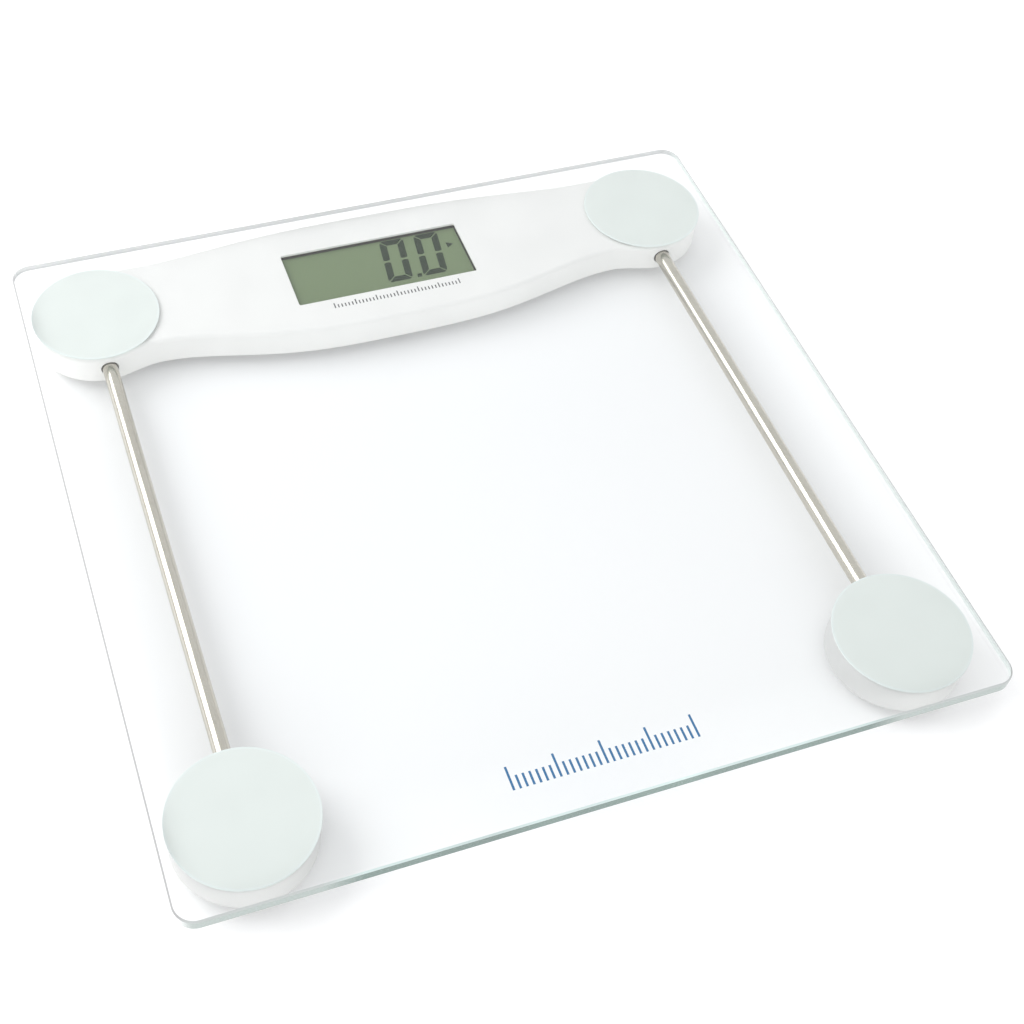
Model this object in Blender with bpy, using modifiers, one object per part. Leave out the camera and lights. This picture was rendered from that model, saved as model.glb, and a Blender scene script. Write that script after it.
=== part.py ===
"""Glass-topped digital body scale, modelled as its separate pieces.

Frame: metres, +Z up, +X to the right, +Y towards the display end.
The origin lies on the floor, under the middle of the glass platform.
"""
import math

import bpy
import bmesh
from mathutils import Matrix, Vector

MM = 0.001

# ---- driving dimensions, in metres -------------------------------------
GAP = 0.3 * MM                 # clearance kept between touching pieces

GLASS_SIDE = 300 * MM
GLASS_THICKNESS = 5 * MM
GLASS_CORNER = 7.5 * MM
GLASS_CHAMFER = 1 * MM
GLASS_BOTTOM = 18 * MM

FOOT_X = 121.2 * MM            # feet centres, left and right of the middle
FOOT_Y = 118 * MM              # feet centres, front and back of the middle
DISC_RADIUS = 25.5 * MM
DISC_THICKNESS = 0.5 * MM

HOUSING_BOTTOM = 4 * MM
HOUSING_TOP = 16.4 * MM        # top of the display housing between its discs
BOSS_TOP = 16.9 * MM           # raised round seats under the frosted discs
HOUSING_RADIUS = 25 * MM
CUP_RADIUS = 22.5 * MM         # inside of each foot well
CEILING = 14.6 * MM            # inside of the housings' top wall
LIP_RADIUS = 20.2 * MM
LIP_TOP = 5.2 * MM
WALL = 2.2 * MM

FRONT_EDGE = 97 * MM           # display housing outline, away from its bulge
REAR_EDGE = 142.6 * MM
FRONT_BULGE = 12.4 * MM
REAR_BULGE = 5.4 * MM
BULGE_REACH = 100 * MM

WINDOW_WIDTH = 78 * MM
WINDOW_DEPTH = 30.4 * MM
WINDOW_X = -1.4 * MM           # the display sits a little left of the middle
WINDOW_Y = 116.4 * MM

TUBE_RADIUS = 3.1 * MM
TUBE_BORE = 2.4 * MM
TUBE_Z = 10.6 * MM
TUBE_HALF_LENGTH = 99 * MM

CELL_SIDE = 28 * MM
CELL_BOTTOM = 8 * MM
CELL_TOP = 10.2 * MM

CAP_RADIUS = 19.7 * MM
CAP_FLANGE = 21 * MM
PAD_RADIUS = 16.4 * MM
PAD_TOP = 2.3 * MM

BOARD_BOTTOM = 9.4 * MM
BOARD_TOP = 10.6 * MM
COVER_TOP = 6 * MM
CELL_BATTERY = (66 * MM, 117 * MM)
BUTTON_AT = (-62 * MM, 116 * MM)
COVER_SCREWS = [(x * MM, y * MM) for x in (-86, 86) for y in (106, 131)]
COVER_SCREWS += [(0, 91 * MM), (0, 141.6 * MM)]
BOARD_SCREWS = [(-49 * MM, 103 * MM), (49 * MM, 131 * MM)]

FEET = {
    "front_left": (-FOOT_X, -FOOT_Y),
    "front_right": (FOOT_X, -FOOT_Y),
    "rear_left": (-FOOT_X, FOOT_Y),
    "rear_right": (FOOT_X, FOOT_Y),
}

ROUND = 40                     # sides of the large round pieces
WELL_ROUND = 32                # sides of the foot wells and feet
SMALL_ROUND = 12               # sides of screws, posts and holes

# ---- scene, collections and materials -----------------------------------


def clear_scene():
    for obj in list(bpy.data.objects):
        bpy.data.objects.remove(obj, do_unlink=True)


def make_collection(name):
    collection = bpy.data.collections.new(name)
    bpy.context.scene.collection.children.link(collection)
    return collection


clear_scene()
PARTS = make_collection("glass_body_scale")
CUTTERS = make_collection("cutters")


def make_material(name, colour, roughness, metallic=0.0, transmission=0.0):
    material = bpy.data.materials.new(name)
    material.use_nodes = True
    shader = material.node_tree.nodes["Principled BSDF"]
    shader.inputs["Base Color"].default_value = (*colour, 1.0)
    shader.inputs["Roughness"].default_value = roughness
    shader.inputs["Metallic"].default_value = metallic
    shader.inputs["Transmission Weight"].default_value = transmission
    material.diffuse_color = (*colour, 1.0)
    return material


def same_look(*names, **look):
    """One material of its own for every named sub-part, all with one look."""
    return {name: make_material(name, **look) for name in names}


def foot_names(prefix):
    return [f"{prefix}_{corner}" for corner in FEET]


WHITE = dict(colour=(0.86, 0.86, 0.84), roughness=0.4)
MATERIALS = {
    **same_look("glass_platform", colour=(0.80, 0.90, 0.87), roughness=0.03, transmission=0.9),
    **same_look(*foot_names("bond_disc"), colour=(0.74, 0.84, 0.80), roughness=0.6),
    **same_look("display_housing", "display_housing_cover", "battery_cover", **WHITE),
    **same_look("front_housing_left", "front_housing_right", **WHITE),
    **same_look(*foot_names("foot_cap"), **WHITE),
    **same_look(*foot_names("foot_pad"), colour=(0.62, 0.62, 0.60), roughness=0.85),
    **same_look(*foot_names("load_cell"), colour=(0.60, 0.60, 0.62), roughness=0.35, metallic=1.0),
    **same_look(*foot_names("strain_gauge"), colour=(0.85, 0.85, 0.82), roughness=0.7),
    **same_look(*foot_names("cell_lead"), colour=(0.30, 0.05, 0.04), roughness=0.5),
    **same_look("support_tube_left", "support_tube_right",
                colour=(0.66, 0.63, 0.58), roughness=0.22, metallic=1.0),
    **same_look("lcd_panel", colour=(0.24, 0.31, 0.20), roughness=0.2),
    **same_look("lcd_holder", **WHITE),
    **same_look("zebra_strip", colour=(0.25, 0.25, 0.28), roughness=0.8),
    **same_look("main_board", colour=(0.03, 0.22, 0.08), roughness=0.45),
    **same_look("controller_chip", "unit_switch", colour=(0.02, 0.02, 0.02), roughness=0.4),
    **same_look("unit_button", colour=(0.35, 0.37, 0.38), roughness=0.5),
    **same_look("coin_cell", "battery_contact_positive", "battery_contact_negative",
                colour=(0.72, 0.72, 0.70), roughness=0.25, metallic=1.0),
    **same_look(*[f"cover_screw_{i + 1}" for i in range(len(COVER_SCREWS))],
                colour=(0.55, 0.55, 0.55), roughness=0.3, metallic=1.0),
    **same_look(*[f"board_screw_{i + 1}" for i in range(len(BOARD_SCREWS))],
                colour=(0.55, 0.55, 0.55), roughness=0.3, metallic=1.0),
}

# ---- modelling helpers -----------------------------------------------------


def place_object(name, data, at=(0, 0, 0)):
    """Links a visible sub-part, with its own material."""
    obj = bpy.data.objects.new(name, data)
    obj.location = at
    data.materials.append(MATERIALS[name])
    PARTS.objects.link(obj)
    return obj


def place_cutter(name, data, at=(0, 0, 0)):
    obj = bpy.data.objects.new(name, data)
    obj.location = at
    obj.hide_render = True
    obj.display_type = "WIRE"
    CUTTERS.objects.link(obj)
    return obj


def mesh_from(name, bm):
    bmesh.ops.recalc_face_normals(bm, faces=bm.faces)
    mesh = bpy.data.meshes.new(name)
    bm.to_mesh(mesh)
    bm.free()
    mesh.shade_smooth()
    mesh.set_sharp_from_angle(angle=math.radians(30))
    return mesh


def add_box(bm, low, high):
    """A box between two opposite corners."""
    low, high = Vector(low), Vector(high)
    place = Matrix.Translation((low + high) / 2) @ Matrix.Diagonal((*(high - low), 1))
    return bmesh.ops.create_cube(bm, size=1, matrix=place)["verts"]


def add_cylinder(bm, radius, start, end, sides=SMALL_ROUND):
    """A closed cylinder between the centres of its two ends."""
    start, end = Vector(start), Vector(end)
    turn = (end - start).to_track_quat("Z", "Y").to_matrix().to_4x4()
    bmesh.ops.create_cone(
        bm, cap_ends=True, segments=sides, radius1=radius, radius2=radius,
        depth=(end - start).length, matrix=Matrix.Translation((start + end) / 2) @ turn)


def add_post(bm, radius, x, y, low, high, sides=SMALL_ROUND):
    """An upright cylinder between two heights."""
    add_cylinder(bm, radius, (x, y, low), (x, y, high), sides)


def rounded_plate(low, high, corner, steps):
    """A flat box whose four upright edges are rounded."""
    bm = bmesh.new()
    add_box(bm, low, high)
    upright = [e for e in bm.edges if abs(e.verts[0].co.z - e.verts[1].co.z) > 1e-6]
    bmesh.ops.bevel(bm, geom=upright, offset=corner, segments=steps,
                    profile=0.5, affect="EDGES")
    return bm


def boolean(target, tool, operation="DIFFERENCE"):
    modifier = target.modifiers.new(tool.name, "BOOLEAN")
    modifier.operation = operation
    modifier.object = tool
    modifier.use_self = True   # a cutter's shapes may overlap each other
    return modifier


def bevel_rims(obj, width, segments=1, sharp_from=50):
    modifier = obj.modifiers.new("Rims", "BEVEL")
    modifier.width = width
    modifier.segments = segments
    modifier.limit_method = "ANGLE"
    modifier.angle_limit = math.radians(sharp_from)
    return modifier


def turned(profile, steps, closed=False):
    """A mesh turned about Z from (radius, height) points that run down the outer side."""
    bm = bmesh.new()
    points = [bm.verts.new((radius, 0, height)) for radius, height in profile]
    pairs = list(zip(points, points[1:]))
    if closed:
        pairs.append((points[-1], points[0]))
    for pair in pairs:
        bm.edges.new(pair)
    mesh = bpy.data.meshes.new("turned_profile")
    bm.to_mesh(mesh)
    bm.free()
    holder = place_cutter("turning", mesh)
    screw = holder.modifiers.new("Turn", "SCREW")
    screw.steps = screw.render_steps = steps
    screw.use_merge_vertices = True
    screw.merge_threshold = 0.00001
    shape = bpy.data.meshes.new_from_object(
        holder.evaluated_get(bpy.context.evaluated_depsgraph_get()))
    bpy.data.objects.remove(holder, do_unlink=True)
    shape.shade_smooth()
    shape.set_sharp_from_angle(angle=math.radians(30))
    return shape


def outline_prism(name, outline, low, high):
    """A flat outline filled and given thickness, as a closed mesh."""
    curve = bpy.data.curves.new(name, "CURVE")
    curve.dimensions = "2D"
    curve.fill_mode = "BOTH"
    curve.extrude = (high - low) / 2
    spline = curve.splines.new("POLY")
    spline.points.add(len(outline) - 1)
    for point, (x, y) in zip(spline.points, outline):
        point.co = (x, y, 0, 1)
    spline.use_cyclic_u = True
    holder = place_cutter(name, curve, (0, 0, (low + high) / 2))
    bpy.context.view_layer.update()
    mesh = bpy.data.meshes.new_from_object(
        holder.evaluated_get(bpy.context.evaluated_depsgraph_get()))
    mesh.transform(holder.matrix_world)
    bpy.data.objects.remove(holder, do_unlink=True)
    bm = bmesh.new()
    bm.from_mesh(mesh)
    bmesh.ops.remove_doubles(bm, verts=bm.verts, dist=0.00001)
    return mesh_from(name, bm)


def wire(name, points, radius):
    """A round lead along smooth points, as a curve with filled caps."""
    curve = bpy.data.curves.new(name, "CURVE")
    curve.dimensions = "3D"
    curve.bevel_depth = radius
    curve.bevel_resolution = 2
    curve.use_fill_caps = True
    spline = curve.splines.new("POLY")
    spline.points.add(len(points) - 1)
    for point, place in zip(spline.points, points):
        point.co = (*place, 1)
    return place_object(name, curve)


def smooth_path(corners, steps):
    """Points of a Catmull-Rom curve through the given corners."""
    corners = [Vector(c) for c in corners]
    ends = [2 * corners[0] - corners[1], *corners, 2 * corners[-1] - corners[-2]]
    path = []
    for a, b, c, d in zip(ends, ends[1:], ends[2:], ends[3:]):
        for i in range(steps):
            t = i / steps
            path.append(0.5 * (2 * b + (c - a) * t + (2 * a - 5 * b + 4 * c - d) * t ** 2
                               + (3 * b - a - 3 * c + d) * t ** 3))
    path.append(corners[-1])
    return path


# ---- the display housing's outline ------------------------------------------


def bulge(x):
    """1 in the middle of the housing, easing to 0 where its round ends begin."""
    reach = min(abs(x) / BULGE_REACH, 1) ** 1.6
    return (1 + math.cos(math.pi * reach)) / 2


def ease(x):
    """0 where the bulge ends, 1 at the centre line of the foot."""
    t = max(0, (abs(x) - BULGE_REACH) / (FOOT_X - BULGE_REACH))
    return t * t * (3 - 2 * t)


def front_line(x):
    foot_front = FOOT_Y - HOUSING_RADIUS
    return FRONT_EDGE - FRONT_BULGE * bulge(x) + (foot_front - FRONT_EDGE) * ease(x)


def rear_line(x):
    foot_rear = FOOT_Y + HOUSING_RADIUS
    return REAR_EDGE + REAR_BULGE * bulge(x) + (foot_rear - REAR_EDGE) * ease(x)


def housing_outline():
    """The display housing seen from above, anticlockwise, with round ends."""
    steps = 30
    rows = [FOOT_X * (2 * i / steps - 1) for i in range(1, steps)]
    outline = [(x, front_line(x)) for x in rows]
    half_turn = 16
    for side in (1, -1):
        for i in range(half_turn + 1):
            angle = math.pi * (i / half_turn - 0.5) + (0 if side > 0 else math.pi)
            outline.append((side * FOOT_X + HOUSING_RADIUS * math.cos(angle),
                            FOOT_Y + HOUSING_RADIUS * math.sin(angle)))
        if side > 0:
            outline += [(x, rear_line(x)) for x in reversed(rows)]
    return outline


def middle_outline(inset, half_width):
    """The stretch between the feet, set in from the outline by a wall."""
    steps = 18
    rows = [half_width * (2 * i / steps - 1) for i in range(steps + 1)]
    return ([(x, front_line(x) + inset) for x in rows]
            + [(x, rear_line(x) - inset) for x in reversed(rows)])


# ---- glass platform and its frosted bonding discs ---------------------------


def make_glass_platform():
    half = GLASS_SIDE / 2
    bm = rounded_plate((-half, -half, GLASS_BOTTOM),
                       (half, half, GLASS_BOTTOM + GLASS_THICKNESS), GLASS_CORNER, 8)
    glass = place_object("glass_platform", mesh_from("glass_platform", bm))
    bevel_rims(glass, GLASS_CHAMFER)


def make_bond_discs():
    for corner, (x, y) in FEET.items():
        bm = bmesh.new()
        add_post(bm, DISC_RADIUS, 0, 0, -DISC_THICKNESS, 0, ROUND)
        name = f"bond_disc_{corner}"
        place_object(name, mesh_from(name, bm), (x, y, GLASS_BOTTOM - GAP))


# ---- housings -----------------------------------------------------------------


def add_tube_saddle(bm, x, foot_y, inward):
    """A block under the ceiling, just inside the cup wall, that grips a tube's end."""
    near = foot_y + inward * 18 * MM
    far = foot_y + inward * 23.5 * MM
    add_box(bm, (x - 4.6 * MM, min(near, far), 8.4 * MM),
            (x + 4.6 * MM, max(near, far), CEILING + 0.4 * MM))


def add_seat_posts(bm, x, y):
    """Four posts under the ceiling that the load cell's frame rests against."""
    reach = 10.5 * MM
    for dx in (-reach, reach):
        for dy in (-reach, reach):
            add_post(bm, 1.7 * MM, x + dx, y + dy, CELL_TOP + GAP, CEILING + 0.4 * MM, 8)


def add_foot_well(bm, x, y):
    """The round well that a foot works in, with its lip at the mouth."""
    add_post(bm, LIP_RADIUS, x, y, HOUSING_BOTTOM - 1 * MM, LIP_TOP + 0.2 * MM, WELL_ROUND)
    add_post(bm, CUP_RADIUS, x, y, LIP_TOP, CEILING, WELL_ROUND)


def add_tube_bore(bm, x, foot_y, inward):
    """The hole that the tube passes, through the cup wall and along the saddle."""
    add_cylinder(bm, TUBE_RADIUS + GAP, (x, foot_y + inward * 17 * MM, TUBE_Z),
                 (x, foot_y + inward * 30 * MM, TUBE_Z), 16)


def make_front_housing(name, x):
    fillet = 1.2 * MM
    shape = turned([
        (0, BOSS_TOP), (HOUSING_RADIUS - fillet, BOSS_TOP),
        (HOUSING_RADIUS - 0.35 * fillet, BOSS_TOP - 0.35 * fillet),
        (HOUSING_RADIUS, BOSS_TOP - fillet), (HOUSING_RADIUS, HOUSING_BOTTOM + 0.8 * MM),
        (HOUSING_RADIUS - 0.8 * MM, HOUSING_BOTTOM), (0, HOUSING_BOTTOM)], ROUND)
    housing = place_object(name, shape, (x, -FOOT_Y, 0))
    wells = bmesh.new()
    add_foot_well(wells, 0, 0)
    boolean(housing, place_cutter(f"{name}_well", mesh_from("well", wells), (x, -FOOT_Y, 0)))
    inner = bmesh.new()
    add_tube_saddle(inner, 0, 0, 1)
    add_seat_posts(inner, 0, 0)
    boolean(housing, place_cutter(f"{name}_inner", mesh_from("inner", inner), (x, -FOOT_Y, 0)),
            "UNION")
    bores = bmesh.new()
    add_tube_bore(bores, 0, 0, 1)
    boolean(housing, place_cutter(f"{name}_bore", mesh_from("bore", bores), (x, -FOOT_Y, 0)))


def make_middle_cavity():
    """The hollow for the electronics, open below, between the two foot wells."""
    shape = outline_prism("cavity", middle_outline(WALL, 98 * MM), HOUSING_BOTTOM - 1 * MM, CEILING)
    cavity = place_cutter("display_housing_cavity", shape)
    walls = bmesh.new()
    for side in (-1, 1):
        add_post(walls, CUP_RADIUS + WALL, side * FOOT_X, FOOT_Y, 0, GLASS_BOTTOM, WELL_ROUND)
    boolean(cavity, place_cutter("display_housing_well_walls", mesh_from("walls", walls)))
    return cavity


def make_display_housing():
    body = outline_prism("display_housing", housing_outline(), HOUSING_BOTTOM, HOUSING_TOP)
    housing = place_object("display_housing", body)
    bevel_rims(housing, 0.9 * MM)
    bosses = bmesh.new()
    for side in (-1, 1):
        add_post(bosses, HOUSING_RADIUS - 0.7 * MM, side * FOOT_X, FOOT_Y,
                 CEILING + 0.5 * MM, BOSS_TOP, ROUND)
    boolean(housing, place_cutter("display_housing_bosses", mesh_from("bosses", bosses)), "UNION")
    boolean(housing, make_middle_cavity())

    hollows = bmesh.new()
    for side in (-1, 1):
        add_foot_well(hollows, side * FOOT_X, FOOT_Y)
    boolean(housing, place_cutter("display_housing_wells", mesh_from("wells", hollows)))

    inner = bmesh.new()
    for side in (-1, 1):
        add_tube_saddle(inner, side * FOOT_X, FOOT_Y, -1)
        add_seat_posts(inner, side * FOOT_X, FOOT_Y)
    for x, y in COVER_SCREWS:
        add_post(inner, 2.8 * MM, x, y, COVER_TOP + GAP, CEILING + 0.4 * MM, 12)
    for x, y in BOARD_SCREWS:
        add_post(inner, 2.4 * MM, x, y, BOARD_TOP + GAP, CEILING + 0.4 * MM, 12)
    boolean(housing, place_cutter("display_housing_inner", mesh_from("inner", inner)), "UNION")

    holes = bmesh.new()
    window = (WINDOW_WIDTH / 2, WINDOW_DEPTH / 2)
    add_box(holes, (WINDOW_X - window[0], WINDOW_Y - window[1], CEILING - 1 * MM),
            (WINDOW_X + window[0], WINDOW_Y + window[1], HOUSING_TOP + 1 * MM))
    for side in (-1, 1):
        add_tube_bore(holes, side * FOOT_X, FOOT_Y, -1)
        low_x, high_x = sorted((side * 91 * MM, side * 102 * MM))
        add_box(holes, (low_x, 111 * MM, 10.9 * MM), (high_x, 121 * MM, 14 * MM))
    for x, y in COVER_SCREWS:
        add_post(holes, 1.3 * MM, x, y, COVER_TOP - 1 * MM, 13 * MM, 8)
    for x, y in BOARD_SCREWS:
        add_post(holes, 1.3 * MM, x, y, BOARD_TOP - 1 * MM, 13.6 * MM, 8)
    boolean(housing, place_cutter("display_housing_holes", mesh_from("holes", holes)))


# ---- bottom cover, battery door and unit button ------------------------------

DOOR_LOW = (CELL_BATTERY[0] - 15.5 * MM, CELL_BATTERY[1] - 12.4 * MM)
DOOR_HIGH = (CELL_BATTERY[0] + 13 * MM, CELL_BATTERY[1] + 12.4 * MM)
DOOR_THICKNESS = 1.3 * MM
COMPARTMENT_RADIUS = 10.6 * MM
HOOK_PLACES = (-6 * MM, 6 * MM)


def make_display_housing_cover():
    """The flush cover under the electronics, with the battery compartment's ring wall."""
    inset = WALL + GAP
    plate = outline_prism("plate", middle_outline(inset, 97 * MM), HOUSING_BOTTOM, COVER_TOP)
    cover = place_object("display_housing_cover", plate)
    bx, by = CELL_BATTERY
    ring = bmesh.new()
    add_post(ring, COMPARTMENT_RADIUS + 1.4 * MM, bx, by, COVER_TOP - 0.5 * MM,
             BOARD_BOTTOM - GAP, 28)
    boolean(cover, place_cutter("cover_ring", mesh_from("ring", ring)), "UNION")

    cuts = bmesh.new()
    for side in (-1, 1):
        add_post(cuts, CUP_RADIUS + WALL + 2 * GAP, side * FOOT_X, FOOT_Y, 0, GLASS_BOTTOM,
                 WELL_ROUND)
    add_post(cuts, 4.3 * MM, *BUTTON_AT, 0, GLASS_BOTTOM, 24)
    for x, y in COVER_SCREWS:
        add_post(cuts, 1.5 * MM, x, y, 0, GLASS_BOTTOM, 12)
    boolean(cover, place_cutter("cover_cuts", mesh_from("cuts", cuts)))

    seats = bmesh.new()
    for x, y in COVER_SCREWS:
        add_post(seats, 2.9 * MM, x, y, HOUSING_BOTTOM - 1 * MM, HOUSING_BOTTOM + 1.2 * MM, 16)
    add_box(seats, (DOOR_LOW[0] - GAP, DOOR_LOW[1] - GAP, HOUSING_BOTTOM - 1 * MM),
            (DOOR_HIGH[0] + GAP, DOOR_HIGH[1] + GAP, HOUSING_BOTTOM + DOOR_THICKNESS + 0.1 * MM))
    boolean(cover, place_cutter("cover_seats", mesh_from("seats", seats)))

    opening = bmesh.new()
    add_post(opening, COMPARTMENT_RADIUS, bx, by, 0, GLASS_BOTTOM, 28)
    add_box(opening, (bx + 9 * MM, by - 2.6 * MM, COVER_TOP + 0.4 * MM),
            (bx + 14 * MM, by + 2.6 * MM, GLASS_BOTTOM))
    for dy in HOOK_PLACES:
        add_box(opening, (DOOR_LOW[0] - 0.5 * MM, by + dy - 2.3 * MM, 0),
                (DOOR_LOW[0] + 3.6 * MM, by + dy + 2.3 * MM, GLASS_BOTTOM))
    boolean(cover, place_cutter("cover_openings", mesh_from("opening", opening)))


def make_battery_cover():
    """A hatch that swings down about its outer edge, with two hook tabs at the hinge side."""
    hinge = Vector((DOOR_LOW[0], CELL_BATTERY[1], HOUSING_BOTTOM))
    width = DOOR_HIGH[0] - DOOR_LOW[0]
    half_depth = (DOOR_HIGH[1] - DOOR_LOW[1]) / 2
    bm = rounded_plate((0, -half_depth, 0), (width, half_depth, DOOR_THICKNESS), 1 * MM, 2)
    cover = place_object("battery_cover", mesh_from("battery_cover", bm), hinge)
    tabs = bmesh.new()
    for dy in HOOK_PLACES:
        add_box(tabs, (0.3 * MM, dy - 1.8 * MM, 0.5 * MM), (1.6 * MM, dy + 1.8 * MM, 2.9 * MM))
        add_box(tabs, (-1.8 * MM, dy - 1.8 * MM, 2.3 * MM), (1.5 * MM, dy + 1.8 * MM, 2.8 * MM))
    tab_tool = place_cutter("battery_cover_tabs", mesh_from("tabs", tabs), hinge)
    boolean(cover, tab_tool, "UNION")
    grip = bmesh.new()
    add_cylinder(grip, 4 * MM, (width - 3.4 * MM, -5 * MM, -3.55 * MM),
                 (width - 3.4 * MM, 5 * MM, -3.55 * MM), 24)
    boolean(cover, place_cutter("battery_cover_grip", mesh_from("grip", grip), hinge))


def make_unit_button():
    profile = [(0, 3.1 * MM), (5 * MM, 3.1 * MM), (5 * MM, 2.5 * MM), (4 * MM, 2.5 * MM),
               (4 * MM, 0.3 * MM), (3.7 * MM, 0), (0, 0)]
    place_object("unit_button", turned(profile, 20), (*BUTTON_AT, 3.8 * MM))


def make_unit_switch():
    x, y = BUTTON_AT
    top = BOARD_BOTTOM - GAP
    bm = rounded_plate((x - 3 * MM, y - 3 * MM, 8.2 * MM), (x + 3 * MM, y + 3 * MM, top),
                       0.4 * MM, 1)
    switch = place_object("unit_switch", mesh_from("unit_switch", bm))
    plunger = bmesh.new()
    add_post(plunger, 1.6 * MM, x, y, 7.5 * MM, 8.6 * MM, 16)
    boolean(switch, place_cutter("unit_switch_plunger", mesh_from("plunger", plunger)), "UNION")


# ---- feet ------------------------------------------------------------------------


def cap_profile():
    return [
        (0, 7.1 * MM), (3.2 * MM, 7.1 * MM), (3.6 * MM, 4.2 * MM), (17.4 * MM, 4.2 * MM),
        (17.8 * MM, 6.5 * MM), (CAP_FLANGE, 6.5 * MM), (CAP_FLANGE, 5.5 * MM),
        (CAP_RADIUS, 5.5 * MM), (CAP_RADIUS, 2.4 * MM), (CAP_RADIUS - 1 * MM, 1.4 * MM),
        (PAD_RADIUS + GAP, 1.2 * MM), (PAD_RADIUS + GAP, 2.6 * MM), (0, 2.6 * MM)]


def pad_profile():
    return [(0, PAD_TOP), (PAD_RADIUS, PAD_TOP), (PAD_RADIUS, 0.7 * MM),
            (PAD_RADIUS - 0.7 * MM, 0), (0, 0)]


def make_load_cell(name, x, y, tongue_root):
    """A flat steel plate whose U-shaped slot leaves a bending tongue."""
    half = CELL_SIDE / 2
    bm = rounded_plate((-half, -half, CELL_BOTTOM), (half, half, CELL_TOP), 6 * MM, 4)
    cell = place_object(name, mesh_from(name, bm), (x, y, 0))
    slot = bmesh.new()
    low, high = CELL_BOTTOM - 1 * MM, CELL_TOP + 1 * MM
    for side in (-1, 1):
        inner, outer = sorted((side * 5.5 * MM, side * 7.3 * MM))
        add_box(slot, (inner, -8 * MM, low), (outer, 8 * MM, high))
    far = -tongue_root * 6.4 * MM
    near_edge, far_edge = sorted((far, far - tongue_root * 1.7 * MM))
    add_box(slot, (-6.4 * MM, near_edge, low + 0.1 * MM), (6.4 * MM, far_edge, high + 0.1 * MM))
    boolean(cell, place_cutter(f"{name}_slot", mesh_from("slot", slot), (x, y, 0)))


def make_strain_gauge(name, x, y, tongue_root):
    """The gauge under its bead of sealant, on top of the tongue's root."""
    low = CELL_TOP + GAP
    bm = rounded_plate((-3.6 * MM, -2.4 * MM, low), (3.6 * MM, 2.4 * MM, low + 0.7 * MM),
                       1.6 * MM, 3)
    gauge = place_object(name, mesh_from(name, bm), (x, y + tongue_root * 4 * MM, 0))
    bevel_rims(gauge, 0.25 * MM)


def make_feet():
    cap = turned(cap_profile(), 28)
    pad = turned(pad_profile(), 28)
    for corner, (x, y) in FEET.items():
        place_object(f"foot_cap_{corner}", cap.copy(), (x, y, 0))
        place_object(f"foot_pad_{corner}", pad.copy(), (x, y, 0))
        towards_middle = -1 if y > 0 else 1
        make_load_cell(f"load_cell_{corner}", x, y, towards_middle)
        make_strain_gauge(f"strain_gauge_{corner}", x, y, towards_middle)


# ---- tubes and leads -----------------------------------------------------------


def make_tubes():
    for side, name in ((-1, "support_tube_left"), (1, "support_tube_right")):
        half = TUBE_HALF_LENGTH
        profile = [(TUBE_BORE, half), (TUBE_RADIUS, half), (TUBE_RADIUS, -half), (TUBE_BORE, -half)]
        tube = place_object(name, turned(profile, 20, closed=True), (side * FOOT_X, 0, TUBE_Z))
        tube.rotation_euler = (math.radians(90), 0, 0)


def make_leads():
    """Each load cell's three-core lead, from its gauge to the board."""
    radius = 0.9 * MM
    over_gauge = CELL_TOP + GAP + 0.7 * MM + GAP + radius
    board_end = BOARD_TOP + GAP + radius
    for side, hand in ((-1, "left"), (1, "right")):
        x = side * FOOT_X
        end_x = side * 78 * MM
        rear = [
            (x, FOOT_Y - 4 * MM, over_gauge), (x - side * 8 * MM, FOOT_Y - 2.2 * MM, over_gauge),
            (x - side * 16 * MM, FOOT_Y + 0.2 * MM, 12.4 * MM),
            (side * 96 * MM, FOOT_Y + 0.8 * MM, 12.4 * MM),
            (side * 88 * MM, FOOT_Y + 0.6 * MM, 12.2 * MM), (end_x, FOOT_Y, board_end)]
        wire(f"cell_lead_rear_{hand}", smooth_path(rear, 3), radius)
        start = [
            (x, -FOOT_Y + 4 * MM, over_gauge), (x, -FOOT_Y + 9 * MM, over_gauge + 0.1 * MM),
            (x, -FOOT_Y + 15.4 * MM, 11.7 * MM), (x, -FOOT_Y + 21 * MM, TUBE_Z),
            (x, -FOOT_Y + 30 * MM, TUBE_Z)]
        finish = [
            (x, FOOT_Y - 30 * MM, TUBE_Z), (x, FOOT_Y - 20.4 * MM, TUBE_Z),
            (x - side * 1.2 * MM, FOOT_Y - 16.6 * MM, 11.4 * MM),
            (x - side * 5 * MM, FOOT_Y - 10.2 * MM, 12.4 * MM),
            (x - side * 16 * MM, FOOT_Y - 5.2 * MM, 12.4 * MM),
            (side * 96 * MM, FOOT_Y - 4.2 * MM, 12.4 * MM),
            (side * 88 * MM, FOOT_Y - 4.6 * MM, 12.2 * MM), (end_x, FOOT_Y - 5 * MM, board_end)]
        wire(f"cell_lead_front_{hand}", smooth_path(start, 2) + smooth_path(finish, 2), radius)


# ---- display and electronics --------------------------------------------------


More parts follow.
